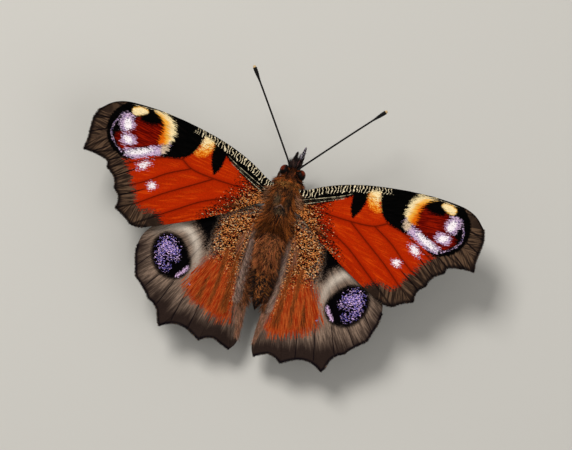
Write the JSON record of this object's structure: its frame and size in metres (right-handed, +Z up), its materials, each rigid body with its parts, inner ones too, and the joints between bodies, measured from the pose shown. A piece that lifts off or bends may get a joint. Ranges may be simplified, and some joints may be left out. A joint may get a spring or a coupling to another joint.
{
  "type": "peacock butterfly model",
  "caption": "Still, life-size peacock butterfly standing with its wings spread flat and its antennae forward.",
  "frame": {"origin": "on the floor, below the middle of the model's box", "axes": "+X to the animal's right along the wingspan, +Y to the front past the head, +Z up from the floor"},
  "size_m": [0.0634, 0.0434, 0.0113],
  "materials": {
    "thorax_coat": "long brown silky hair",
    "abdomen_coat": "brown hair, darker to the tip",
    "head_coat": "short brown hair",
    "eye": "reddish brown, finely faceted",
    "forewing_scales": "rust red scales with a black, cream and lilac eyespot",
    "hindwing_scales": "rust and grey-brown scales with a violet-blue eyespot",
    "antenna": "black, ringed with pale scales, with a pale club tip",
    "palp": "dark bristles with a pale streak",
    "proboscis": "dark brown horn",
    "leg": "brown, scaled"
  },
  "bodies": {
    "root": {"thorax": "thorax_coat", "collar": "thorax_coat", "abdomen": "abdomen_coat", "head": "head_coat", "eye_L": "eye", "eye_R": "eye", "palp_L": "palp", "palp_R": "palp", "antenna_L": "antenna", "antenna_R": "antenna", "proboscis": "proboscis", "forewing_L": "forewing_scales", "forewing_R": "forewing_scales", "hindwing_L": "hindwing_scales", "hindwing_R": "hindwing_scales", "foreleg_L": "leg", "foreleg_R": "leg", "midleg_L": "leg", "midleg_R": "leg", "hindleg_L": "leg", "hindleg_R": "leg"}
  },
  "joints": []
}
